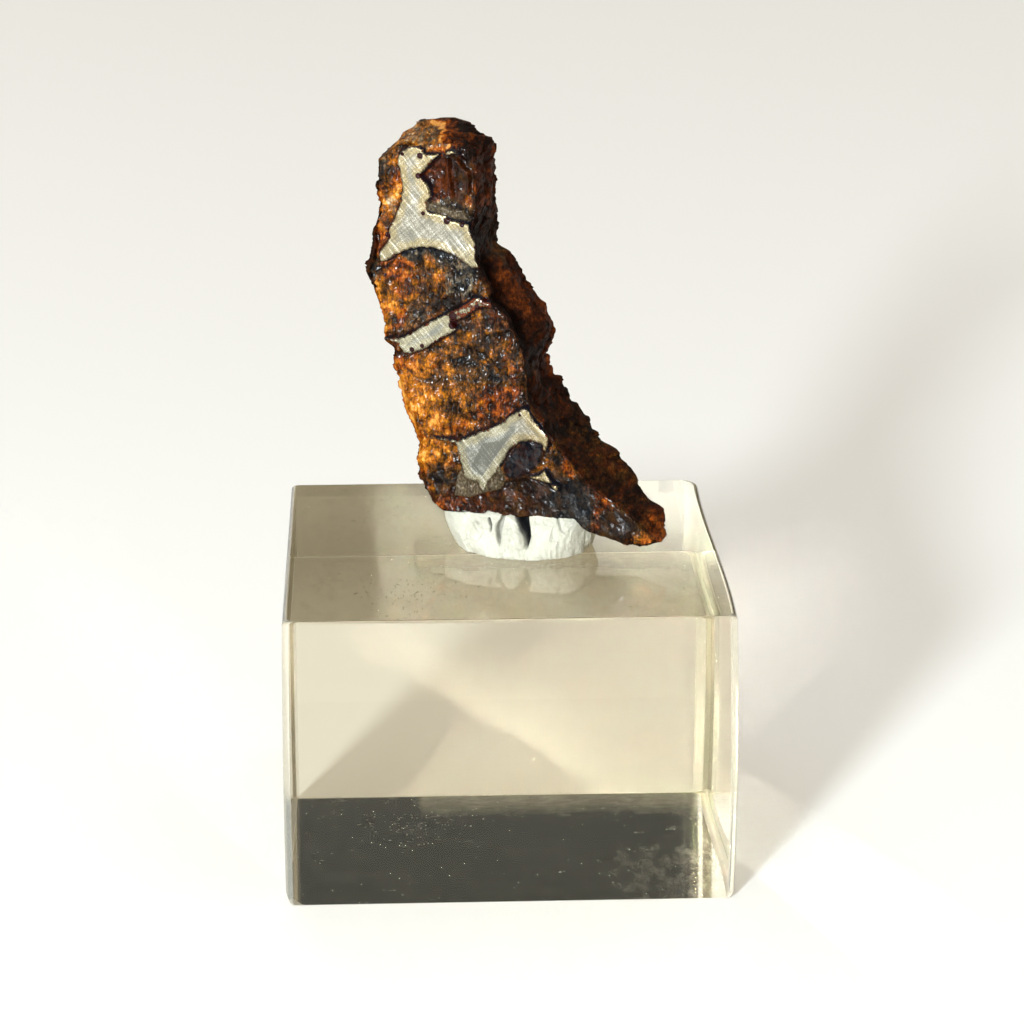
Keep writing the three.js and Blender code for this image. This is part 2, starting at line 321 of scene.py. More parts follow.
# Polishing left the upright corners and the foot's rounding a little hazy.
on_arc = np.tile(np.repeat((1.0, 0.0), (ARC_POINTS, STRAIGHT_POINTS)), 4)
on_foot = np.zeros((len(block_rings), 1))
on_foot[1:ARC_POINTS] = 1.0
haze = np.clip(0.5 * on_arc + on_foot, 0.0, 1.0)
haze[(0, -1), :] = 0.0
paint(block, "haze", np.append(haze, (0.0, 0.0)))
under = np.zeros(haze.shape)
under[:1 + ARC_POINTS // 2] = 1.0
paint(block, "underside", np.append(under, (1.0, 0.0)))

ACRYLIC_INDEX = 1.49
ACRYLIC_TINT = (0.70, 0.61, 0.33, 1.0)
ACRYLIC_DENSITY = 25.0
DUST_COLOUR = (0.90, 0.87, 0.76, 1.0)

acrylic = Finish(bpy.data.materials.new("acrylic"))
edge_haze = acrylic.attribute("haze") * 0.35
acrylic_surface = acrylic.node("ShaderNodeBsdfPrincipled", {}, {
    "Base Color": (1.0, 1.0, 1.0, 1.0), "Roughness": edge_haze, "IOR": ACRYLIC_INDEX,
    "Transmission Weight": 1.0})
# The underside is dusty and scuffed: a mottled film, clouded at the front right and wiped into a
# band along the back edge, specks thickest towards the back left, and a few short curved scratches.
beneath = acrylic.place().stretched(1000.0, 1000.0, 1000.0)
along_x, along_y, _ = acrylic.parts(beneath)
smear = acrylic.noise(beneath, 0.35, 5.0, 0.65)
wiped = acrylic.noise(beneath.stretched(0.8, 1.3, 1.0), 0.8, 6.0, 0.75)
mottle = acrylic.noise(beneath.stretched(1.2, 0.35, 1.0), 0.9, 5.0, 0.75)
cloud = along_x.rise(5.0, 10.0) * along_y.rise(2.0, -3.0)
film = smear.rise(0.35, 0.65) * 0.13 + cloud * 0.17 + along_x.rise(10.0, 14.0) * 0.09
film = mottle.rise(0.30, 0.80) * film
back_film = along_y.rise(7.0, 15.5) * (along_x.rise(-6.0, -5.4) * 0.85 + 0.15) * (wiped * 0.7 + 0.02)
crowd = acrylic.distance(beneath, (-6.2, 6.0, 0.0)).rise(7.5, 2.0)
specks = acrylic.cells(beneath.stretched(1.0, 0.3, 1.0), 3.2).rise(0.26, 0.12)
specks = specks * (acrylic.noise(beneath, 1.2, 3.0) + crowd * 0.2).rise(0.58, 0.72)
scuffs = abs(acrylic.noise(beneath, 0.55, 1.0) - 0.5).rise(0.012, 0.004)
scuffs = scuffs * (acrylic.noise(beneath, 0.9, 2.0) + crowd * 0.1).rise(0.66, 0.69)
dusty = film + back_film + specks * 0.35 + scuffs * 0.3
dusty = dusty * acrylic.attribute("underside") + edge_haze * 1.1
dust = acrylic.node("ShaderNodeBsdfDiffuse", {}, {"Color": DUST_COLOUR})
acrylic_surface = acrylic.node("ShaderNodeMixShader", {}, {0: dusty, 1: acrylic_surface, 2: dust})
acrylic_body = acrylic.node("ShaderNodeVolumeAbsorption", {}, {
    "Color": ACRYLIC_TINT, "Density": ACRYLIC_DENSITY})
acrylic.node("ShaderNodeOutputMaterial", {}, {"Surface": acrylic_surface, "Volume": acrylic_body})
block.data.materials.append(acrylic.material)
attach(block, "root")
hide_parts("acrylic_block")


# The slice: a broken piece of a sawn pallasite, about 6.5 mm thick. Bright nickel-iron stands level
# with the saw cut, the brown olivine between it is pitted, and all of it is rusty and varnished.
# Lengths are millimetres on the cut face: x to the right, y into the slice, z up.
CUT_ORIGIN = np.array((-4.94, 0.58, 20.9))
CUT_TURN = radians(20)
SLICE_BOTTOM, SLICE_TOP = 1.0, 28.4
SLICE_LEVELS = 286
SLICE_COLUMNS = (172, 58, 60, 32)
CAP_RINGS = 12
BACK_FACE_DEPTH = 6.2
BACK_CORNER_INSET = 0.5
# The back face has the front's metal and colours, moved to the right and up.
BACK_SHIFT = (1.0, 1.5)
OLIVINE_RECESS = 0.42

LEFT_EDGE = np.array([
    (0.9, 1.7), (0, 2.7), (-0.7, 3.8), (-1.05, 5), (-0.9, 6.6), (-1.4, 8.1), (-2.1, 10.1),
    (-2.7, 11.9), (-2.8, 12.8), (-3.35, 13.5), (-3.5, 15), (-4.1, 17.1), (-4.5, 18.2),
    (-4, 19.1), (-4, 21), (-3.5, 23.1), (-3.8, 24.8), (-3.6, 26.2), (-3, 28.4)])
RIDGE = np.array([
    (16.5, 1), (15.2, 1.9), (13.2, 3.4), (10.9, 4.7), (8.7, 7.5), (7.3, 9.4), (7.1, 11.8),
    (6.6, 13.8), (5.4, 15.8), (4.3, 16.9), (3.9, 18.1), (3.5, 19.7), (3.2, 21.3), (3.6, 23.6),
    (3.4, 25.7), (3.1, 27.1), (2.6, 28.4)])
FAR_EDGE = np.array([
    (16.3, 1, 1.6), (15.8, 2.6, 2.8), (14.5, 3, 3.4), (12.9, 4.8, 4.6), (11.9, 5.7, 5.2),
    (10.5, 6.1, 5.8), (9, 7.8, 6.4), (7.4, 10.1, 6.5), (6.6, 10.4, 6.5), (6.2, 11.9, 6.5),
    (6.7, 13.2, 6.5), (6.6, 14, 6.5), (5.4, 16.3, 6.5), (4.7, 16.9, 6.4), (3.9, 18.8, 6.2),
    (2.8, 19.4, 6), (2.9, 21, 5.9), (2.8, 22.5, 5.8), (3, 25, 5.6), (2.7, 27.2, 5.4),
    (2.2, 28.4, 5.4)])
UNDERSIDE = np.array([
    (0.9, 1.7), (6.2, 1.65), (7.6, 1.85), (10.2, 1.9), (11.2, 1.05), (12.3, 0.9), (14.5, 0.4),
    (16.6, 1.1)])
CROWN = np.array([
    (-3.9, 25.8), (-3.4, 26.2), (-2.4, 26.9), (-0.7, 27.15), (1.0, 27.35), (1.8, 27.35), (3.2, 26.9),
    (3.6, 26.6)])
CROWN_RISE, CROWN_FALL = 0.12, 0.05
UNDERSIDE_REACH, CROWN_START = 5.0, 20.0
# How far to either side the section is averaged, in sides: crisp at the cut face, softer behind.
CRISP_REACH, SOFT_REACH = 0.012, 0.08
CORNER_BLUR = 0.035

# Closed outlines on the cut face. Distances to them are cut off at OUTLINE_REACH.
OUTLINE_REACH = 9.0
METAL = [
    [(-2.1, 26.4), (-1.9, 26.6), (-1.3, 27), (-0.8, 27.1), (-0.4, 26.9), (-0.3, 26.6), (0.2, 26.6),
     (0.8, 26.7), (0.2, 26.1), (-0.4, 25.4), (-0.7, 25.2), (-0.5, 25), (-0.2, 24.7), (0.2, 23.9),
     (0.2, 23.7), (-0.1, 23.4), (-0.1, 22.7), (0.2, 22.6), (1.2, 22.5), (1.6, 22.2), (2, 22.1),
     (2.8, 22), (3.1, 21.1), (3.3, 20.7), (3.3, 19.4), (3.6, 19.3), (3.5, 19.1), (3.1, 19),
     (2.4, 19.5), (1.9, 19.8), (1, 20.1), (0.2, 20.25), (-0.7, 20.2), (-1.4, 20), (-1.9, 19.8),
     (-2.6, 19.4), (-3, 19.1), (-3.4, 19), (-3.5, 19.6), (-3, 20.3), (-2.7, 20.8), (-2.8, 21.2),
     (-2.3, 22.3), (-1.9, 23.3), (-1.8, 24.3), (-1.9, 25.1), (-2.1, 25.8)],
    [(1.2, 26.8), (1.6, 27), (1.9, 26.9), (2.1, 26.8), (1.8, 26.8), (1.4, 26.7)],
    [(-3.2, 13.6), (-2.4, 13.65), (-1.8, 13.8), (-1.2, 14.2), (-0.1, 14.9), (0.5, 15.3), (1.1, 15.6),
     (1.4, 15.7), (1.6, 15.5), (1.5, 15.2), (1.7, 14.8), (2, 14.7), (1.3, 14.2), (0.2, 13.5),
     (-0.8, 12.9), (-1.4, 12.7), (-1.8, 12.7), (-2, 13), (-2.3, 13.4)],
    [(1.9, 6.7), (3.3, 7.4), (4.2, 7.8), (5.1, 8.3), (5.9, 9), (6.8, 9.5), (7.1, 9.3), (7.5, 8.6),
     (8.2, 7.9), (8.5, 7.6), (8.4, 7.1), (8.3, 6.6), (8.05, 6.7), (8.1, 7.1), (7.5, 7.3), (7, 7.3),
     (6.4, 7.1), (6, 6.8), (5.6, 6.4), (5.3, 5.8), (4.7, 4.8), (4.3, 4.3), (3.9, 3.4), (3.7, 3.6),
     (3.5, 4), (2.8, 4.1), (2.5, 4.4), (2.2, 5.4), (2.1, 6)],
    [(1.95, 6.78), (1.5, 6.8), (0.9, 6.84), (0, 6.84), (0.9, 6.74), (1.5, 6.68)],
    [(7.2, 4.7), (7.8, 4.9), (8.2, 5.2), (8.4, 4.9), (8.7, 4.4), (8, 4.5), (7.4, 4.6)],
    [(8.7, 4.3), (9.2, 4.2), (9.1, 3.9), (8.8, 4)],
    [(1.3, 15.75), (2.1, 16.1), (2.7, 16.5), (3.2, 16.95), (3.6, 16.95), (3.9, 16.75), (4.4, 16.7),
     (4.4, 16.4), (3.8, 16.4), (3.2, 16.1), (2.6, 15.6), (1.6, 15.2)],
]
RUSTED_BAR = [
    [(1.4, 15.9), (2.7, 16.7), (3.2, 17.1), (4.5, 17), (4.5, 16.2), (3.2, 15.9), (2.4, 15.3),
     (1.6, 15)]]
DARK_METAL = [
    [(3, 5.1), (3.1, 4.9), (3.7, 4.5), (3.9, 4.6), (4.2, 5.2), (4.9, 6.2), (5.3, 6.8), (5.6, 7.3),
     (6.1, 7.8), (6.2, 8.3), (5.9, 8.2), (5.3, 7.4), (5, 7.1), (4.2, 6.9), (3.8, 6.8), (3.3, 5.7)]]
GREY_OLIVINE = [
    [(1.7, 2.8), (1.9, 4.2), (2.3, 5), (2.5, 4.4), (3.5, 4), (3.9, 3.4), (4.3, 4.3), (5, 5.3),
     (5.4, 4.3), (5, 3.6), (4.1, 3.3), (2.7, 2.8)],
    [(-0.1, 23.3), (-0.1, 22.8), (0.7, 22.65), (2, 22.3), (2.9, 22.2), (2.4, 22.9), (1.6, 22.9),
     (0.6, 23.2)]]
DARK_EYE = [
    [(8.1, 7.1), (7.5, 7.2), (7, 7.3), (6.4, 7.1), (5.6, 6.3), (5.1, 5.3), (5.1, 4.9), (5.4, 4.4),
     (5.9, 4.3), (6.6, 4.5), (7.2, 4.8), (7.7, 5.5), (8.1, 6.2)]]
DARK_HOLE = [
    [(1.5, 26.7), (0.6, 26.5), (0.2, 26.1), (-0.2, 25.7), (-0.4, 25.1), (-0.1, 24.4), (0.2, 23.8),
     (0.8, 23.4), (1.5, 23), (2.2, 23), (2.7, 23.4), (3.2, 24.1), (3.4, 24.9), (3.2, 25.9),
     (2.8, 26.5), (2, 26.8)]]


def cell_random(cell, seed):
    """A repeatable number from 0 to 1 for each cell of a cubic lattice: the fraction of a large sine."""
    value = np.sin(cell @ (127.1, 311.7, 74.7) + seed * 53.3) * 43758.5453
    return value - np.floor(value)


def lumps(point, size, seed):
    """Smooth lumps from -1 to 1: random numbers at lattice corners a size apart, eased between."""
    place = point / size
    cell = np.floor(place)
    ease = (place - cell) ** 2 * (3.0 - 2.0 * (place - cell))
    total = 0.0
    for corner in np.ndindex(2, 2, 2):
        weight = np.prod(np.where(corner, ease, 1.0 - ease), axis=-1)
        total = total + weight * cell_random(cell + corner, seed)
    return total * 2.0 - 1.0


def chips(point, size, seed):
    """Broken facets: every point takes the height of a randomly tilted plane that belongs to the
    nearest of the random seeds scattered one to a lattice cell."""
    place = point / size
    cell = np.floor(place)
    nearest = np.full(place.shape[:-1], 1e9)
    height = np.zeros(place.shape[:-1])
    for corner in np.ndindex(3, 3, 3):
        at = cell + corner - 1.0
        jitter = np.stack([cell_random(at, seed + k) for k in range(3)], -1)
        away = place - at - jitter
        gap = np.sum(away * away, axis=-1)
        tilt = np.sum((jitter[..., ::-1] - 0.5) * away, axis=-1) * 2.2
        value = 0.8 * (cell_random(at, seed + 3) * 2.0 - 1.0) + tilt
        height = np.where(gap < nearest, value, height)
        nearest = np.minimum(nearest, gap)
    return height


def outline_distance(outlines, x, z):
    """Distance to the nearest closed outline, negative inside: the least distance to any side, with
    its sign from how many sides a ray to the left crosses."""
    result = np.full(x.shape, OUTLINE_REACH)
    for outline in outlines:
        nearest = np.full(x.shape, OUTLINE_REACH)
        inside = np.zeros(x.shape, bool)
        for (ax, az), (bx, bz) in zip(outline[-1:] + outline[:-1], outline):
            dx, dz = bx - ax, bz - az
            run = np.clip(((x - ax) * dx + (z - az) * dz) / (dx ** 2 + dz ** 2), 0.0, 1.0)
            nearest = np.minimum(nearest, np.hypot(x - ax - run * dx, z - az - run * dz))
            if az != bz:
                inside ^= ((az > z) != (bz > z)) & (x < ax + (z - az) / dz * dx)
        result = np.minimum(result, np.where(inside, -nearest, nearest))
    return result


def smooth(value, low, high):
    """0 below low, 1 above high, eased between."""
    t = np.clip((value - low) / (high - low), 0.0, 1.0)
    return t * t * (3.0 - 2.0 * t)


def level_height(level, x, y):
    """Height of a level: the lowest follows the underside and the highest the crown, and both
    fade out over the levels next to them."""
    low = np.clip(1.0 - (level - SLICE_BOTTOM) / UNDERSIDE_REACH, 0.0, 1.0) ** 2
    high = np.clip((level - CROWN_START) / (SLICE_TOP - CROWN_START), 0.0, 1.0) ** 2
    fall = CROWN_FALL * np.maximum(x, 0.0)
    crown = np.interp(x, *CROWN.T) + y * (CROWN_RISE - fall)
    return level + low * (np.interp(x, *UNDERSIDE.T) - SLICE_BOTTOM) + high * (crown - SLICE_TOP)


def section_corner(level, outline, depth, inset, outward, seed):
    """x and y of one corner of the section at each level, found on its outline by repeated
    substitution and pushed in and out by small lumps."""
    z = level
    for _ in range(5):
        x = np.interp(z, outline[:, 1], outline[:, 0]) + inset
        y = np.interp(z, outline[:, 1], outline[:, 2]) if outline.shape[1] == 3 else np.full_like(z, depth)
        z = level_height(level, x, y)
    place = np.stack((x, y, z), -1)
    ragged = 0.16 * lumps(place, 1.7, seed) + 0.08 * lumps(place, 0.8, seed)
    return np.stack((x + outward * ragged, y), -1)


# Each level's section has four straight sides between the cut face's left edge, its right edge,
# the far right edge and the back face's left edge. The value called around counts sides from 0 to 4.
level = np.linspace(SLICE_BOTTOM, SLICE_TOP, SLICE_LEVELS)
corners = np.stack([
    section_corner(level, LEFT_EDGE, 0.0, 0.0, -1, 21),
    section_corner(level, RIDGE, 0.0, 0.0, 1, 22),
    section_corner(level, FAR_EDGE, 0.0, 0.2, 1, 23),
    section_corner(level, LEFT_EDGE, BACK_FACE_DEPTH, BACK_CORNER_INSET, -1, 24)], 1)
around = np.concatenate([side + np.arange(count) / count for side, count in enumerate(SLICE_COLUMNS)])


def round_section(v):
    """Place on the four straight sides of the section; v counts sides from the left edge on."""
    side = np.floor(v).astype(int) % 4
    share = (v - np.floor(v))[:, None]
    return corners[:, side] * (1.0 - share) + corners[:, (side + 1) % 4] * share


edges = np.roll(corners, -1, axis=1) - corners
normals = np.stack((edges[..., 1], -edges[..., 0]), -1) / np.linalg.norm(edges, axis=-1, keepdims=True)


def side_share(v, side, blur):
    """1 on one side of the section, 0 on the others, turning over within blur of its corners."""
    away = np.abs((v - side - 0.5 + 2.0) % 4.0 - 2.0)
    return smooth(away, 0.5 + blur, 0.5 - blur)


reach = np.where((around > 1.5) & (around < 3.5), SOFT_REACH, CRISP_REACH)
plan = (round_section(around - reach) + 2.0 * round_section(around) + round_section(around + reach)) / 4.0
skin = np.concatenate((plan, level_height(level[:, None], plan[..., 0], plan[..., 1])[..., None]), -1)
shares = np.stack([side_share(around, side, CORNER_BLUR) for side in range(4)])
outward = np.einsum("sv,lsk->lvk", shares, normals)
on_front, on_right, on_back, on_left = shares[:, None, :]
x, y, z = np.moveaxis(skin, -1, 0)

# Colour patches of the cut face: x, z, half width, half height, then how light, how red and how
# blue-grey the stone is there, against the fine pattern that the material adds.
FRONT_PATCHES = np.array([
    (-3.5, 25.4, 0.45, 1.2, 0.05, 0.1, 0.6), (-2.5, 25, 0.4, 0.7, 0.35, 0.7, 0),
    (-2.5, 23.4, 0.3, 0.8, 1.1, 0, 0.5), (-3.2, 23.4, 0.4, 1, 0.5, 0.4, 0),
    (-3.3, 21.4, 0.6, 1, 0.5, 0.5, 0.1), (-3.6, 19.8, 0.4, 0.8, 0.3, 0.8, 0),
    (-4.1, 18.4, 0.3, 1, -0.1, 0.4, 0.6),
    (0.9, 24.6, 0.7, 1.4, 0, 1.3, 0), (1.1, 25, 0.2, 0.8, 0.45, 1.3, 0),
    (2, 24.8, 0.5, 1.6, -0.4, 0.5, 0.3), (2.8, 24.6, 0.4, 1.2, 0, 0.5, 0.3),
    (3.7, 26, 0.7, 1.5, -0.45, 0.7, 0), (3.3, 24, 0.8, 0.3, 0.1, 0.9, 0),
    (0.9, 22.9, 1.2, 0.4, 0.3, 0, 1), (2.6, 22.1, 1, 0.4, -0.8, 0.2, 0.3),
    (3.8, 21.5, 0.6, 1.4, -0.9, 0.5, 0.2), (-0.2, 19.8, 1.8, 0.4, -0.9, 0, 1.3),
    (6.9, 11.6, 0.35, 2.2, -0.7, 0.4, 0.1), (5.6, 14.6, 0.4, 1.2, -0.5, 0.6, 0),
    (-2.2, 18.6, 0.8, 0.7, 0.45, 0.7, 0), (-1.5, 17.6, 1, 0.9, 0.15, 0.6, 0),
    (0.1, 18.6, 1.1, 1.2, 0.1, 0.3, 0.2), (2.2, 18.5, 0.7, 1.1, -0.15, 0.1, 0.95),
    (3, 17.9, 0.16, 0.55, 1.3, 0, 0.9), (2.4, 17.3, 0.5, 0.35, 0.4, 0, 0.9),
    (-3.2, 16.2, 0.6, 0.8, 0.75, 0.1, 0.1), (-2.3, 15.6, 0.6, 0.7, 0.35, 0.7, 0),
    (-1.2, 15.4, 0.5, 0.8, 0.35, 0.1, 0.7), (-0.6, 16.9, 0.9, 0.6, 0.45, 0.2, 0.1),
    (0.9, 16.4, 1, 0.6, -0.7, 0.4, 0.2), (5.1, 15.3, 0.8, 0.8, -0.2, 0.6, 0),
    (-2.1, 12.1, 0.7, 0.7, 0.3, 0.7, 0), (0.3, 11.6, 1, 0.6, 0.5, 0.3, 0.1),
    (-1.7, 10.6, 0.9, 1, 0.8, 0.3, 0), (-0.9, 8.6, 1.1, 1, 1.15, 0.25, 0),
    (0.4, 7.8, 0.9, 0.7, 0.8, 0.3, 0), (1.7, 10.3, 1.3, 1.3, 0, 0.1, 0.2),
    (3, 12.2, 1.5, 1, -0.04, 0.1, 0.45), (5.1, 12.5, 1, 1.4, -0.1, 0.5, 0.1),
    (3.7, 13.8, 1.4, 0.7, 0, 0.3, 0.1), (4.2, 11, 0.7, 0.5, -0.1, 0, 0.7),
    (4.9, 9.9, 1.3, 0.6, 0.15, 0.9, 0), (3.4, 9, 0.9, 0.6, 0.2, 0.6, 0.3),
    (2, 7.9, 0.8, 0.5, 0.15, 0.6, 0.1), (0.2, 5.9, 1, 0.7, 0.85, 0.2, 0.05),
    (-0.7, 4.6, 0.5, 0.8, 0.9, 0.5, 0), (0.8, 4.1, 0.7, 0.8, -0.4, 0.3, 0.5),
    (0.8, 2.3, 1, 0.5, 0.15, 0.9, 0), (3.4, 2.5, 1.4, 0.6, -0.35, 0.9, 0),
    (5.6, 2.6, 1.2, 0.7, -0.45, 0.5, 0.2), (7.2, 3.1, 1.2, 0.9, -0.55, 0.6, 0.4),
    (9.4, 3.4, 1.2, 1.2, -0.6, 0.3, 0.7), (10.8, 2.2, 1, 0.8, -0.55, 0.2, 0.8),
    (11.9, 2.6, 0.4, 1.1, 0.15, 1, 0), (9.6, 6.1, 0.35, 0.9, 0.8, 0.6, 0),
    (15.5, 1, 0.8, 0.5, 0.15, 0.6, 0), (13.7, 1.7, 1, 0.6, -0.6, 0.4, 0.5),
    (8.8, 5.6, 0.4, 0.9, -0.4, 0.4, 0.4), (10.4, 1.3, 0.7, 0.2, 0.3, 0, 1)])
# The same for the broken right side, with y, the depth behind the cut face, in place of x.
SIDE_PATCHES = np.array([
    (2.2, 17.6, 0.8, 1.2, -0.3, 1, 0), (4.6, 16.4, 1.2, 1.2, -0.4, 1.2, 0),
    (5.6, 15, 0.8, 1, -0.2, 1.2, 0), (3.4, 14.6, 1.2, 0.8, -0.75, 0.9, 0),
    (1, 19, 0.8, 3, -1.1, 0.8, 0), (4.5, 19.2, 1.5, 0.6, -0.3, 0.3, 0.4),
    (3, 25, 3, 2, -0.45, 0.9, 0), (2.5, 23.6, 2, 0.3, 0, 1.2, 0),
    (4.5, 21.5, 1.2, 1.2, -0.6, 0.5, 0.3), (4, 10, 2, 1.2, -0.5, 0.9, 0),
    (4, 5.6, 3, 1.6, -0.55, 0.5, 0), (1, 8, 1, 3, -0.75, 0.7, 0),
    (5.6, 11.2, 0.8, 1, -0.2, 1, 0), (1.2, 1.5, 1.2, 0.7, 0, 0.8, 0)])
# And for the crown, seen from above: how far to the right of its ridge, and y. The narrow, very light
# second patch is an orange line along the ridge, partly the stone's colour and partly a painted highlight.
CROWN_PATCHES = np.array([
    (-1.6, 2.5, 1, 3, 0.55, 0.2, 0.5), (-0.15, 3, 0.16, 3, 2.2, 0.7, 0),
    (0.5, 2, 0.5, 2.5, 0.05, 1, 0), (2, 3, 1, 3, -0.7, 0.8, 0.1)])
RIDGE_PLACE, RIDGE_SLANT = 1.15, 0.37
# The same three values of the stone where no patch lies, and how little they weigh against one.
FRONT_PLAIN, SIDE_PLAIN, CROWN_PLAIN, BASE_PLAIN = np.array([
    (0.0, 0.3, 0.0), (-0.75, 0.8, 0.0), (-0.3, 0.5, 0.1), (-0.8, 0.3, 0.2)])
CROWN_POLE_TONE = (0.2, 0.5, 0.0)
PLAIN_WEIGHT = 0.04


def patchwork(patches, first, second, place, plain):
    """Lightness, redness and greyness as the mean of the patches' values, each weighted by a soft
    oval around it; the ovals' outlines wander by a few tenths of a millimetre."""
    first = first + 0.45 * lumps(place, 1.1, 61) + 0.2 * lumps(place, 0.4, 62)
    second = second + 0.45 * lumps(place, 1.1, 63) + 0.2 * lumps(place, 0.4, 64)
    away = ((first[..., None] - patches[:, 0]) / patches[:, 2]) ** 2
    away += ((second[..., None] - patches[:, 1]) / patches[:, 3]) ** 2
    weight = np.exp(-away)
    total = PLAIN_WEIGHT + weight.sum(axis=-1, keepdims=True)
    return (weight @ patches[:, 4:] + PLAIN_WEIGHT * plain) / total


def crown_patchwork(place):
    """The crown's patches, laid along its slanting ridge."""
    from_ridge = place[..., 0] + RIDGE_SLANT * place[..., 1] - RIDGE_PLACE
    return patchwork(CROWN_PATCHES, from_ridge, place[..., 1], place, CROWN_PLAIN)


back_x, back_z = x - BACK_SHIFT[0], z - BACK_SHIFT[1]
wall_tones = (
    on_front[..., None] * patchwork(FRONT_PATCHES, x, z, skin, FRONT_PLAIN)
    + (on_right + on_left)[..., None] * patchwork(SIDE_PATCHES, y, z, skin, SIDE_PLAIN)
    + on_back[..., None] * patchwork(FRONT_PATCHES, back_x, back_z, skin, FRONT_PLAIN))
near_crown = smooth(z, 26.2, 27.2)[..., None] * (1.0 - on_back[..., None])
wall_tones = wall_tones * (1.0 - near_crown) + crown_patchwork(skin) * near_crown
wall_tones[..., 0] -= 0.13 * on_front
# A painted glow: the thin left lip of the face is made lighter and amber, standing in for light from the
# left that shines through it.
lip_glow_painted = np.exp(-(np.minimum(around / 0.03, (4.0 - around) / 0.12)) ** 2)
lip_glow_painted = lip_glow_painted * smooth(z, 4.0, 6.0) * smooth(-z, -17.5, -16.0)
wall_tones[..., 0] += lip_glow_painted * (1.1 + 0.6 * lumps(skin, 0.7, 65))


def pitted(x, z, place, calm, seed):
    """How far a sawn face lies behind its plane, and its signed distance to metal. The first is zero
    on the metal, a groove at its border, and in the olivine a mix of lumps, upright streaks and
    crystal facets, which are lower where the stone is calm."""
    border = 0.035 * lumps(place, 0.33, seed) + 0.03 * chips(place, 0.24, seed)
    metal = outline_distance(METAL, x, z) + border
    away = smooth(metal, 0.0, 0.25)
    grain = 0.15 * lumps(place, 1.3, seed) + 0.10 * lumps(place * (3.4, 1.0, 0.9), 1.0, seed + 1)
    grain += 0.13 * chips(place, 0.9, seed + 2) + 0.09 * chips(place, 0.45, seed + 3)
    grain += 0.04 * lumps(place, 0.22, seed + 4)
    groove = 0.16 * np.exp(-((metal - 0.12) / 0.1) ** 2)
    return away * (OLIVINE_RECESS + grain * (1.0 - 0.7 * calm)) + groove, metal


calm = smooth(-wall_tones[..., 0], 0.35, 0.6) * smooth(-z, -6.5, -5.0)
front_pits, front_metal = pitted(x, z, skin, calm, 3)
flat_olivine = smooth(outline_distance(GREY_OLIVINE, x, z), 0.08, -0.05)
hole = smooth(outline_distance(DARK_HOLE, x, z), 0.05, -0.5)
rib_places = [np.interp(z, (23.2, 24.1, 26.5), (1.6, 1.5, 1.22)),
              np.interp(z, (23.9, 25.4, 26.3), (2.8, 2.65, 1.9))]
wander = x + 0.06 * lumps(skin, 0.3, 66)
hole_ribs = sum(np.exp(-((wander - place) / 0.12) ** 2) for place in rib_places)
hole_ribs *= smooth(z, 23.0, 23.8) * smooth(-z, -26.8, -26.2) * hole
eye = smooth(outline_distance(DARK_EYE, x, z), 0.05, -0.2)
rusted = smooth(outline_distance(RUSTED_BAR, x, z), 0.1, -0.1)
front_pits *= (1.0 - 0.7 * flat_olivine) * (1.0 - 0.75 * eye) * (1.0 - 0.6 * hole)
front_pits += hole * (0.5 - 0.45 * hole_ribs) + 0.1 * eye
back_pits, back_metal = pitted(back_x, back_z, skin, 0.0, 7)

# The broken sides are rough. On the right one a lobe bulges behind a trough, every edge is ragged,
# and the far right edge has small teeth.
grain = skin * (1.0, 0.55, 1.0)
rough = 0.12 * chips(grain, 0.9, 51) + 0.06 * chips(grain, 0.45, 52) + 0.03 * lumps(grain, 0.2, 53)
rough += 0.3 * lumps(skin, 2.1, 11) + 0.16 * lumps(skin, 1.0, 12)
depth_share = around - 1.0
bulge = 0.45 * np.exp(-((depth_share - 0.6) / 0.2) ** 2)
trough = 0.8 * np.exp(-((depth_share - 0.25) / 0.1) ** 2)
lobe = smooth(z, 13.0, 15.0) * (1.0 - smooth(z, 18.5, 20.5)) * (bulge - trough)
edge = np.exp(-(((around + 0.5) % 1.0 - 0.5) / 0.09) ** 2)
ragged = edge * (0.07 * chips(skin, 0.5, 54) + 0.05 * lumps(skin, 0.3, 55))
far_edge = np.exp(-((around - 2.0) / 0.07) ** 2) * smooth(z, 4.5, 6.0) * smooth(-z, -13.5, -12.0)
tooth = (z / 0.85 + 0.25 * lumps(skin, 1.5, 56)) % 1.0
scallops = far_edge * 0.3 * (2.0 * tooth * smooth(-tooth, -1.0, -0.86) - 0.9)
relief = on_right * (rough + lobe) + on_left * rough - on_front * front_pits - on_back * back_pits
pit = -relief - OLIVINE_RECESS * (on_front + on_back)
relief += ragged * (1.0 - on_front) + scallops
skin[..., :2] += relief[..., None] * outward
metal = np.where(on_front > 0.5, front_metal, np.where(on_back > 0.5, back_metal, 1.0))


def closing_rings(ring, level_end, seed, shares):
    """Rings that draw a section in towards its middle, over the underside or the crown, with lumps
    and chips that grow from nothing at the section's edge."""
    middle = ring.mean(axis=0)
    share = shares[:, None, None]
    drawn = ring * (1.0 - share) + middle * share
    edge_gap = ring[:, 2] - level_height(level_end, ring[:, 0], ring[:, 1])
    share = share[..., 0]
    drawn[..., 2] = level_height(level_end, drawn[..., 0], drawn[..., 1]) + edge_gap * (1.0 - share)
    rough = 0.12 * lumps(drawn, 1.4, seed) + 0.14 * chips(drawn, 1.3, seed) + 0.04 * chips(drawn, 0.4, seed)
    drawn[..., 2] += rough * smooth(share, 0.0, 0.12)
    return drawn


cap_shares = np.linspace(0.0, 1.0, CAP_RINGS + 2)[1:-1]
cap_low = closing_rings(skin[0], SLICE_BOTTOM, 31, cap_shares[::-1])
cap_high = closing_rings(skin[-1], SLICE_TOP, 32, cap_shares)
slice_rings = np.concatenate((cap_low, skin, cap_high))


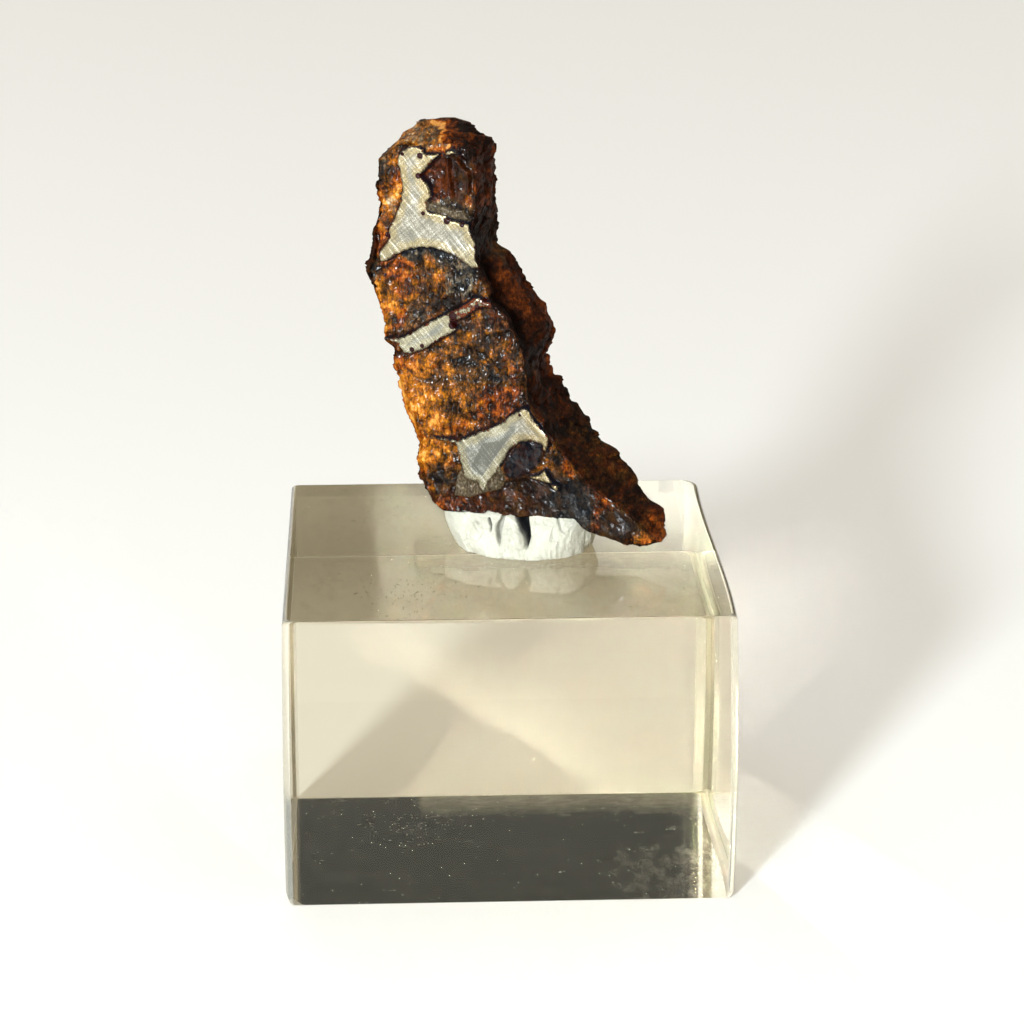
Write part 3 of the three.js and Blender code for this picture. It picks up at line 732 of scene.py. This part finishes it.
def to_frame(cut):
    """Cut-face lengths to the block's own axes: turned about the upright and moved to the origin."""
    along, aside = cos(CUT_TURN), sin(CUT_TURN)
    return cut @ np.array([(along, -aside, 0.0), (aside, along, 0.0), (0.0, 0.0, 1.0)]) + CUT_ORIGIN


def with_middles(rings):
    """The points of all rings, followed by the middles of the lowest and the highest ring."""
    return np.vstack((rings.reshape(-1, 3), rings[0].mean(axis=0), rings[-1].mean(axis=0)))


slice_points = with_middles(slice_rings)
slice_piece = closed_rings("pallasite_slice", to_frame(slice_rings), *map(to_frame, slice_points[-2:]))


def over_caps(values, cap_value):
    """The walls' values, with one value for both caps and the two middles."""
    cap = np.full((CAP_RINGS, values.shape[1]), cap_value)
    return np.concatenate((cap.ravel(), values.ravel(), cap.ravel(), (cap_value, cap_value)))


base_tones = np.broadcast_to(BASE_PLAIN, cap_low.shape)
tones = np.concatenate((base_tones, wall_tones, crown_patchwork(cap_high))).reshape(-1, 3)
tones = np.vstack((tones, BASE_PLAIN, CROWN_POLE_TONE))
front_only = np.where(on_front > 0.5, 1.0, 0.0)
dark_metal = outline_distance(DARK_METAL, x, z) + OUTLINE_REACH * (1.0 - front_only)
paint(slice_piece, "cut", slice_points, "FLOAT_VECTOR")
for name, values in zip(("lightness", "redness", "greyness"), tones.T):
    paint(slice_piece, name, values)
for name, values, cap_value in (
        ("metal", metal, 1.0), ("pit", pit, 0.0), ("dark_metal", dark_metal, OUTLINE_REACH),
        ("flat_olivine", flat_olivine * front_only, 0.0), ("rusted", rusted * front_only, 0.0),
        ("eye", eye * front_only, 0.0), ("hole_ribs", hole_ribs * front_only, 0.0),
        ("calm", np.where(front_only, np.clip(calm + hole, 0.0, 1.0), 0.9), 0.3),
        ("front", np.broadcast_to(on_front, x.shape), 0.0)):
    paint(slice_piece, name, over_caps(values, cap_value))

# Beads of rust that have sweated out of the metal and lie on it: x, z and radius.
RUST_BEADS = [
    (-0.54, 26.51, 0.22), (-0.66, 25.12, 0.22), (-0.35, 22.57, 0.16), (1.33, 22.15, 0.24),
    (2.4, 21.97, 0.18), (-3.01, 20.8, 0.2), (-2.94, 21.22, 0.15), (-1.78, 26.54, 0.14),
    (1.72, 15.57, 0.3), (1.68, 14.93, 0.27), (3.47, 16.34, 0.2), (-1.34, 14.11, 0.12),
    (-1.21, 13.0, 0.18), (-0.48, 13.32, 0.16), (0.81, 13.87, 0.14), (1.1, 14.03, 0.12),
    (6.46, 9.04, 0.12), (-3.25, 18.54, 0.14), (-3.18, 18.05, 0.14), (3.97, 16.87, 0.16)]

# Colours from dark to light: clear, rusted and greyish olivine, the flat grey olivine, the dark eye
# and rust. Then the metal: at its borders and further in, each fresh and warm with varnish.
AMBER = [(0.0, (0.008, 0.004, 0.002)), (0.25, (0.045, 0.018, 0.004)), (0.42, (0.12, 0.046, 0.007)),
         (0.6, (0.27, 0.088, 0.006)), (0.78, (0.52, 0.175, 0.009)), (1.0, (0.76, 0.38, 0.07))]
RED = [(0.0, (0.006, 0.002, 0.001)), (0.25, (0.035, 0.008, 0.002)), (0.45, (0.12, 0.026, 0.004)),
       (0.7, (0.36, 0.078, 0.006)), (1.0, (0.66, 0.28, 0.06))]
GREY = [(0.0, (0.003, 0.004, 0.006)), (0.25, (0.018, 0.015, 0.012)), (0.5, (0.085, 0.066, 0.042)),
        (0.75, (0.23, 0.19, 0.12)), (1.0, (0.52, 0.45, 0.31))]
FLAT_GREY = [(0.36, (0.02, 0.014, 0.008)), (0.52, (0.075, 0.056, 0.031)), (0.64, (0.21, 0.175, 0.11))]
EYE_DARK = [(0.42, (0.002, 0.003, 0.006)), (0.62, (0.022, 0.007, 0.004))]
RUST = [(0.35, (0.030, 0.004, 0.004)), (0.65, (0.22, 0.050, 0.012))]
BORDER_METAL, BORDER_METAL_WARM = (0.31, 0.27, 0.16, 1.0), (0.325, 0.238, 0.098, 1.0)
INNER_METAL, INNER_METAL_WARM = (0.245, 0.24, 0.205, 1.0), (0.29, 0.255, 0.185, 1.0)
TARNISHED_METAL = (0.14, 0.135, 0.11, 1.0)
# Painted glints of the scratches, dark and bright.
SCRATCH_GLINT_DARK, SCRATCH_GLINT_BRIGHT = (0.12, 0.115, 0.10, 1.0), (0.78, 0.77, 0.72, 1.0)
BLACK_RIM = (0.005, 0.006, 0.011, 1.0)
RUST_BEAD = (0.022, 0.002, 0.002, 1.0)
SCRATCH_TILTS = (-50, 42)

stone = Finish(bpy.data.materials.new("rusty_pallasite"))
cut = stone.attribute("cut", "Vector")
across_face, _, height_up = stone.parts(cut)
grain_place = cut.stretched(1.0, 0.5, 1.0)
calm_stone = stone.attribute("calm")
front = stone.attribute("front")
# Olivine: the patches' tone, broken up by lumps from broad to fine, upright streaks, crystals and the seams
# between them, and darkened down in the pits by painted shade.
broad = stone.noise(grain_place, 1.1, 3.0, 0.55)
middle = stone.noise(grain_place, 2.6, 3.0, 0.55, 0.4)
fine = stone.noise(grain_place.stretched(1.2, 1.2, 0.7), 8.0, 3.0, 0.6)
streak = stone.noise(grain_place.stretched(5.5, 5.5, 1.5), 1.0, 3.0, 0.6)
crystal = stone.parts(stone.cells(grain_place, 2.3, output="Color"))[0]
seam = stone.cells(grain_place, 2.3, "DISTANCE_TO_EDGE").rise(0.10, 0.0)
swing = (broad - 0.5) * 1.4 + (middle - 0.5) + (streak - 0.5) + (fine - 0.5) * 0.6
# Painted shade: the deeper a pit lies, the darker its colour.
swing = swing + (crystal - 0.5) * 0.25 - seam * 0.08 - stone.attribute("pit") * 0.5
tone = stone.attribute("lightness") * 0.42 + 0.39 + swing * (1.0 - calm_stone * 0.5)
reddish = stone.attribute("redness") + (stone.noise(grain_place, 1.7, 4.0, 0.6) - 0.5) * 1.8
greyish = stone.attribute("greyness") + (stone.noise(grain_place, 2.3, 4.0, 0.65, 0.5) - 0.5) * 1.5
olivine = stone.mix(reddish.rise(0.2, 0.8), stone.ramp(tone, AMBER), stone.ramp(tone, RED))
olivine = stone.mix(greyish.rise(0.25, 0.8), olivine, stone.ramp(tone, GREY))

# A black rim follows parts of the metal's border, with a ragged edge.
edge_noise = (stone.noise(cut, 6.0, 4.0, 0.75) - 0.5) * 0.32
distance = stone.attribute("metal") + edge_noise
rim = distance.rise(0.24, 0.08) * (broad + streak * 0.6).rise(0.55, 0.78)
olivine = stone.mix(rim, olivine, BLACK_RIM)
flat_grey = stone.ramp(fine * 0.6 + streak * 0.4, FLAT_GREY)
olivine = stone.mix(stone.attribute("flat_olivine"), olivine, flat_grey)
olivine = stone.mix(stone.attribute("eye"), olivine, stone.ramp(middle * 0.6 + broad * 0.4, EYE_DARK))

# The beads are low domes, half as high as their radius.
dome = 0.0
on_face = cut.stretched(1.0, 0.0, 1.0)
for bead_x, bead_z, radius in RUST_BEADS:
    away = stone.distance(on_face, (bead_x, 0.0, bead_z)) * (1.0 / radius)
    dome = ((1.0 - away * away) * (0.5 * radius)).above(dome)
on_bead = dome.rise(0.0, 0.03) * front

# Metal: freckled with rust, most of all near its border, and ground with scratches in two directions, whose
# glints are painted into its colour as bright and dark lines.
rust_grain = stone.noise(cut, 3.4, 4.0, 0.7)
near_border = distance.rise(-0.22, 0.0)
rusty = (rust_grain + stone.attribute("rusted") * 0.16 + near_border * 0.12).rise(0.66, 0.70)
rusty = rusty.above(on_bead)
inside = distance.rise(0.02, -0.02)
is_metal = inside * (1.0 - rusty)
turned = [stone.node("ShaderNodeMapping", {}, {"Vector": cut, "Rotation": (0.0, radians(tilt), 0.0)})
          for tilt in SCRATCH_TILTS]
scratches = [stone.noise(along.stretched(0.45, 1.0, 7.0), 1.0, 2.0, 0.6) for along in turned]
long_glints = across_face.rise(-0.5, 2.5) * 0.5 + 0.25
long_glints = scratches[0].rise(0.62, 0.70) * long_glints * height_up.rise(6.0, 18.0)
sparkle = stone.noise(cut, 15.0, 2.0, 0.7)
glint = scratches[0] - 0.5 + (scratches[1] - 0.5) * 0.7
glint = glint + (sparkle - 0.5) * 1.6 + (broad - 0.5) * 0.6
inner = (distance + (broad - 0.5) * 0.9).rise(-0.35, -0.75)
warm = height_up.rise(12.0, 25.0).above(across_face.rise(5.2, 7.2))
metal_colour = stone.mix(
    inner, stone.mix(warm, BORDER_METAL, BORDER_METAL_WARM), stone.mix(warm, INNER_METAL, INNER_METAL_WARM))
darker = (stone.attribute("dark_metal") + edge_noise * 0.6).rise(0.03, -0.03)
bright_glints = (glint.rise(0.05, 0.45) * 0.8 + long_glints) * (1.0 - darker * 0.6)
metal_colour = stone.mix(darker, metal_colour, TARNISHED_METAL)
# Painted glints: the scratches darken and lighten the metal's colour.
metal_colour = stone.mix(glint.rise(0.12, -0.28) * 0.85, metal_colour, SCRATCH_GLINT_DARK)
metal_colour = stone.mix(bright_glints, metal_colour, SCRATCH_GLINT_BRIGHT)
colour = stone.mix(inside, olivine, stone.mix(rusty, metal_colour, stone.ramp(fine, RUST)))
colour = stone.mix(on_bead, colour, RUST_BEAD)

ribs = stone.attribute("hole_ribs")
grit = stone.noise(grain_place.stretched(1.5, 1.5, 0.9), 7.0, 3.0, 0.6) * (ribs * 1.5 + 1.0)
lumpy = middle * 0.10 + grit * 0.11 + streak * 0.07
lumpy = lumpy * (1.0 - is_metal) * (1.0 - on_bead) + dome * front
# Varnish lies in wet-looking patches on the olivine and on the beads.
wet = stone.noise(cut, 1.7, 4.0, 0.6) + front * 0.11 - calm_stone * 0.06 + ribs * 0.4
coat = (wet.rise(0.47, 0.60) * (front * 0.7 + 0.1)).above(on_bead * 0.5)
slice_piece.data.materials.append(stone.surface(
    Base_Color=colour, Metallic=is_metal * 0.85, Roughness=0.5 - is_metal * 0.16,
    Normal=stone.bump(lumpy + glint * is_metal * 0.01), Specular_IOR_Level=0.03,
    Coat_Weight=coat * (1.0 - is_metal),
    Coat_Roughness=0.2, Coat_IOR=1.32, Coat_Tint=(1.0, 0.90, 0.84, 1.0)))
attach(slice_piece, "root")
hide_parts("meteorite_slice")


# The putty: a thumb-pressed pad of white reusable putty that the slice is pushed into. It was
# squeezed up in three lobes, and the fold between the middle and the right one gapes open.
PUTTY_ROWS, PUTTY_COLUMNS, PUTTY_TOP_RINGS = 90, 720, 6
PUTTY_BASE = 0.9
PUTTY_CENTRE = (5.9, 2.7)
# Half widths across and into the slice at the foot and at the rim, and how far the rim is moved.
PUTTY_FOOT = (4.7, 4.0)
PUTTY_RIM = (5.07, 2.85)
PUTTY_RIM_SHIFT = (-0.4, 0.45)
PUTTY_CORNERS = 0.16
PUTTY_ROLL = 0.14
PUTTY_WRINKLES = 0.07
# Lobes of the front: place across, half width and swelling.
PUTTY_LOBES = [(2.7, 1.5, 0.35), (6.1, 0.75, 0.35), (9.1, 1.5, 0.45)]
# Creases in the front: depth and how dark the painted shade inside is, then rows of rise, place across and
# half width.
PUTTY_CREASES = [
    (1.8, 1.0, [(0.24, 7.15, 0.0), (0.43, 7.19, 0.13), (0.55, 7.19, 0.22), (0.7, 6.97, 0.3),
                (0.84, 6.75, 0.36), (1.0, 6.52, 0.46)]),
    (0.7, 0.4, [(0.3, 5.4, 0.0), (0.52, 5.22, 0.14), (0.72, 5.1, 0.19), (1.0, 5.2, 0.13)]),
    (0.4, 0.8, [(0.6, 4.64, 0.0), (0.66, 4.58, 0.03), (0.77, 4.44, 0.05), (0.9, 4.25, 0.05),
                (0.95, 4.2, 0.0)]),
    (0.3, 0.5, [(0.52, 9.9, 0.0), (0.72, 9.33, 0.03), (1.0, 9.0, 0.03)]),
    (0.2, 0.0, [(0.55, 4.1, 0.0), (0.8, 3.2, 0.05), (1.0, 2.3, 0.02)]),
    (0.15, 0.0, [(0.0, 7.2, 0.05), (0.2, 7.15, 0.03), (0.3, 7.15, 0.0)])]
CLAY_WHITE, CLAY_DIRT = (0.58, 0.565, 0.465, 1.0), (0.32, 0.29, 0.22, 1.0)
# The last colour is painted shade for the inside of the open creases.
CLAY_FLECK, CREASE_SHADE = (0.22, 0.20, 0.17, 1.0), (0.010, 0.010, 0.012, 1.0)


def putty_surface(angle, rise):
    """A blob around an oval: the foot oval runs to the rim oval as the rise grows, soon in width and
    late in depth. The front swells in lobes, and creases are narrow troughs in it whose places and
    widths change with the rise, each with a low roll of squeezed putty on either side. Returns the
    points and how much painted shade darkens each in a crease, from 0 to 1."""
    across = np.cos(angle)
    inward = np.sin(angle)
    ring = np.stack((across * 5.0, inward * 5.0, rise * 2.6), -1)
    soon = 1.0 - (1.0 - rise) ** 1.6
    late = rise ** 1.5
    corner = 1.0 + PUTTY_CORNERS * late * np.sin(2 * angle) ** 2
    out = 0.25 * np.sin(np.pi * rise) + 0.14 * lumps(ring, 1.5, 41) + 0.09 * lumps(ring, 0.7, 42)
    out += 0.04 * lumps(ring * (3.0, 3.0, 1.0), 0.6, 43) + 0.07 * chips(ring, 0.9, 46)
    front = np.clip(-inward * 1.6, 0.0, 1.0)
    width = corner * (PUTTY_FOOT[0] + (PUTTY_RIM[0] - PUTTY_FOOT[0]) * soon)
    x = PUTTY_CENTRE[0] + PUTTY_RIM_SHIFT[0] * soon + across * (width + out * (1.0 - front))
    swelling = sum(swell * np.exp(-((x - place) / half) ** 4) for place, half, swell in PUTTY_LOBES)
    out = out + front * (swelling - 0.2) * np.sin(np.pi * rise ** 0.8)
    wander = x + 0.06 * lumps(ring, 0.5, 47)
    dark = 0.0
    for trough, darkness, rows in PUTTY_CREASES:
        place, half = (np.interp(rise, *np.array(rows)[:, (0, column)].T) for column in (1, 2))
        away = np.abs(wander - place)
        open_here = smooth(half, 0.005, 0.04)
        out = out - front * trough * smooth(away, half + 0.07, half * 0.6) * open_here
        roll = np.exp(-((away - half - 0.28) / 0.2) ** 2) * smooth(rise, 0.1, 0.5)
        out = out + front * PUTTY_ROLL * roll * min(trough, 1.0) * open_here
        # Painted shade inside the open crease.
        dark = dark + darkness * front * smooth(away, half + 0.07, half + 0.01) * open_here
    wrinkles = lumps(ring * (5.0, 1.0, 0.8), 0.9, 44) + 0.6 * lumps(ring * (9.0, 1.0, 1.0), 0.9, 48)
    out = out + front * PUTTY_WRINKLES * wrinkles * smooth(-rise, -0.5, -0.05)
    depth = corner * (PUTTY_FOOT[1] + (PUTTY_RIM[1] - PUTTY_FOOT[1]) * late)
    y = PUTTY_CENTRE[1] + PUTTY_RIM_SHIFT[1] * late + inward * (depth + out)
    z = rise * (level_height(SLICE_BOTTOM, x, y) + PUTTY_BASE + 0.02) - PUTTY_BASE
    return np.stack((x, y, z), -1), np.clip(dark, 0.0, 1.0)


putty_walls, putty_crease_shade = putty_surface(*np.meshgrid(
    np.linspace(0, 2 * np.pi, PUTTY_COLUMNS, endpoint=False), np.linspace(0, 1, PUTTY_ROWS)))
putty_top_shares = np.linspace(0.0, 1.0, PUTTY_TOP_RINGS + 2)[1:-1]
putty_top = closing_rings(putty_walls[-1], SLICE_BOTTOM, 45, putty_top_shares)
putty_rings = np.concatenate((putty_walls, putty_top))
putty_points = with_middles(putty_rings)
putty = closed_rings("putty_pad_pressed", to_frame(putty_rings), *map(to_frame, putty_points[-2:]))
paint(putty, "crease", np.append(putty_crease_shade, np.zeros(len(putty_points) - putty_crease_shade.size)))
paint(putty, "cut", putty_points, "FLOAT_VECTOR")

clay = Finish(bpy.data.materials.new("white_putty"))
spot = clay.attribute("cut", "Vector")
thumbed = clay.distance(spot.stretched(1.0, 0.0, 2.0), (3.45, 0.0, 2.4)).rise(0.4, 0.1)
dirt = clay.noise(spot, 0.45, 4.0, 0.6).rise(0.58, 0.75) * 0.4 + thumbed * clay.noise(spot, 5.0)
flecks = clay.cells(spot, 1.5).rise(0.07, 0.03) * clay.noise(spot, 0.7, 2.0).rise(0.5, 0.6)
clay_colour = clay.mix(dirt, CLAY_WHITE, CLAY_DIRT)
clay_colour = clay.mix(flecks * 0.7, clay_colour, CLAY_FLECK)
# Painted shade darkens the inside of the open creases.
clay_colour = clay.mix(clay.attribute("crease"), clay_colour, CREASE_SHADE)
clay_height = clay.noise(spot, 1.8, 4.0, 0.6) * 0.1 + clay.noise(spot, 0.7, 3.0, 0.5) * 0.3
clay_height = clay_height + clay.noise(spot.stretched(1.0, 1.0, 0.4), 4.0, 3.0, 0.6) * 0.05
putty.data.materials.append(clay.surface(
    Base_Color=clay_colour, Roughness=0.75, Normal=clay.bump(clay_height)))
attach(putty, "root")
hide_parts("putty_pad")
